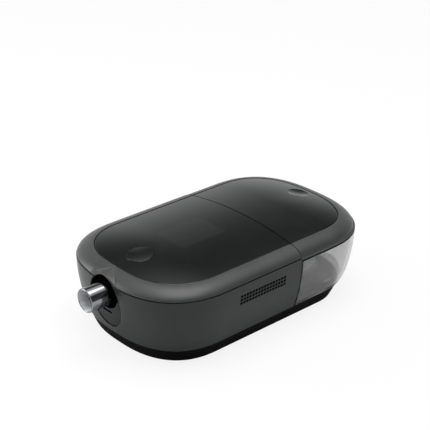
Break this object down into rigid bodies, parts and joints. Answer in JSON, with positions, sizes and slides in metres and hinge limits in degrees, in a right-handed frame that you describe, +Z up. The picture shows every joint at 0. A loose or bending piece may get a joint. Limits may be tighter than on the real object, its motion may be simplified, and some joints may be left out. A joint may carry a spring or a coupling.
{
  "type": "cpap machine",
  "caption": "Low rounded bedside breathing machine with a round button, a hooded air outlet, a side grille and a clear pull-out water tank under a hinged lid.",
  "frame": {"origin": "middle of the housing's footprint on the table, on the resting plane of the rubber feet", "axes": "+Z up, +Y along the length towards the water tank (the air outlet faces -Y), +X to the side with the grille (the service side with filter, card slot and power inlet is -X)"},
  "size_m": [0.164, 0.2844, 0.0817],
  "materials": {
    "housing_plastic": "fine satin texture",
    "band_plastic": "satin",
    "glossy_panel": "gloss",
    "base_plastic": "satin",
    "recess_plastic": "gloss",
    "outlet_plastic": "polished, mirror-like",
    "smoky_tank": "clear smoky plastic",
    "inner_plastic": "moulded",
    "silicone": "soft",
    "black_rubber": "matt",
    "foam": "open foam",
    "filter_media": "felted",
    "circuit_board": "solder resist",
    "screen_glass": "gloss",
    "steel": "machined",
    "copper_windings": "enamelled wire",
    "contact_metal": "plated",
    "magnet": "ground",
    "aluminium_plate": "satin",
    "heater_film": "satin",
    "white_plastic": "moulded"
  },
  "bodies": {
    "main": {"base_pan": "base_plastic", "housing": "housing_plastic", "top_band": "band_plastic", "top_panel": "glossy_panel", "outlet_well": "recess_plastic", "contact_plate": "housing_plastic", "hose_contacts": "contact_metal", "outlet_port": "outlet_plastic", "humid_duct": "silicone", "dry_duct": "silicone", "port_block": "inner_plastic", "port_seals": "black_rubber", "blower_base": "inner_plastic", "blower_cover": "inner_plastic", "blower_mounts": "black_rubber", "motor_stator": "copper_windings", "motor_bearings": "steel", "inlet_box": "inner_plastic", "sound_foam": "foam", "filter_tray": "inner_plastic", "pollen_filter": "filter_media", "power_socket": "base_plastic", "socket_pin": "contact_metal", "power_board": "circuit_board", "control_board": "circuit_board", "board_screws": "steel", "display_module": "screen_glass", "button_switch": "inner_plastic", "ribbon_cable": "white_plastic", "card_socket": "steel", "memory_card": "base_plastic", "vent_screen": "foam", "heater_plate": "aluminium_plate", "heater_pad": "heater_film", "pressure_sensor": "circuit_board", "rubber_feet": "black_rubber", "base_screws": "steel", "door_pin": "steel", "flap_pin": "steel"},
    "rotor": {"impeller": "white_plastic", "motor_shaft": "steel", "rotor_magnet": "magnet"},
    "button": {"start_button": "glossy_panel"},
    "tank": {"tank_body": "smoky_tank", "tank_plate": "aluminium_plate", "air_guide": "smoky_tank", "slosh_plates": "smoky_tank", "hinge_pin": "steel"},
    "lid": {"lid_band": "band_plastic", "lid_panel": "glossy_panel", "lid_seal": "black_rubber", "lid_liner": "inner_plastic"},
    "filter_hatch": {"filter_door": "housing_plastic"},
    "card_hatch": {"card_flap": "housing_plastic"}
  },
  "joints": [
    {"name": "impeller_spin", "type": "hinge", "parent": "main", "child": "rotor", "pos_m": [-0.026, -0.05, 0.03], "axis": [0, 0, 1], "continuous": true},
    {"name": "button_press", "type": "slide", "parent": "main", "child": "button", "axis": [0, 0.1219, -0.9925], "range_m": [0, 0.0007], "stiffness_N_per_m": 900},
    {"name": "tank_slide", "type": "slide", "parent": "main", "child": "tank", "axis": [0, 1, 0], "range_m": [0, 0.12]},
    {"name": "lid_open", "type": "hinge", "parent": "tank", "child": "lid", "pos_m": [0, 0.131, 0.064], "axis": [-1, 0, 0], "range_deg": [0, 100]},
    {"name": "filter_door_open", "type": "hinge", "parent": "main", "child": "filter_hatch", "pos_m": [-0.07665, -0.04, 0.0318], "axis": [0, -1, 0], "range_deg": [0, 85]},
    {"name": "card_flap_open", "type": "hinge", "parent": "main", "child": "card_hatch", "pos_m": [-0.07954, 0.011, 0.0467], "axis": [0, -1, 0], "range_deg": [0, 90]}
  ]
}
